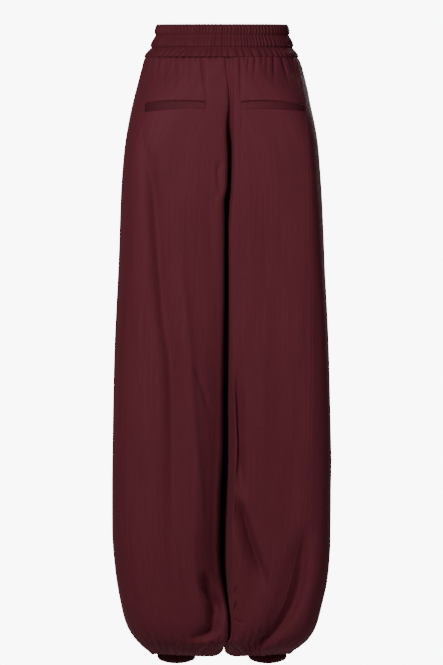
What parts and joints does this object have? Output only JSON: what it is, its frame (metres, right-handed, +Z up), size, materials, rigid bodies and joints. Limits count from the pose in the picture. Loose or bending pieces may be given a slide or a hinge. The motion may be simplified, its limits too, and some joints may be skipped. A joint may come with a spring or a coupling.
{
  "type": "parachute pants",
  "caption": "Full-length wide-leg trousers with an elasticated waistband, back welt pockets and ballooned legs gathered into elastic ankle cuffs, held in their worn shape.",
  "frame": {"origin": "centre of the waist opening, on the garment's centre line, halfway up the waistband's elastic", "axes": "+Z up towards the waist opening, +Y the way the wearer faces, +X the wearer's right"},
  "size_m": [0.3749, 0.2445, 1.098],
  "materials": {
    "panel_cloth": "soft twill with a low satin sheen, burgundy",
    "waistband_cloth": "the same twill, gathered by elastic and stitched in rows",
    "welt_cloth": "the same twill, folded and pressed",
    "cuff_cloth": "the same twill over elastic, closely gathered"
  },
  "bodies": {
    "root": {"waistband": "waistband_cloth", "back_left_upper": "panel_cloth", "back_left_lower": "panel_cloth", "back_right_upper": "panel_cloth", "back_right_lower": "panel_cloth", "front_left_upper": "panel_cloth", "front_left_lower": "panel_cloth", "front_right_upper": "panel_cloth", "front_right_lower": "panel_cloth", "welt_left": "welt_cloth", "welt_right": "welt_cloth", "cuff_left": "cuff_cloth", "cuff_right": "cuff_cloth"}
  },
  "joints": []
}
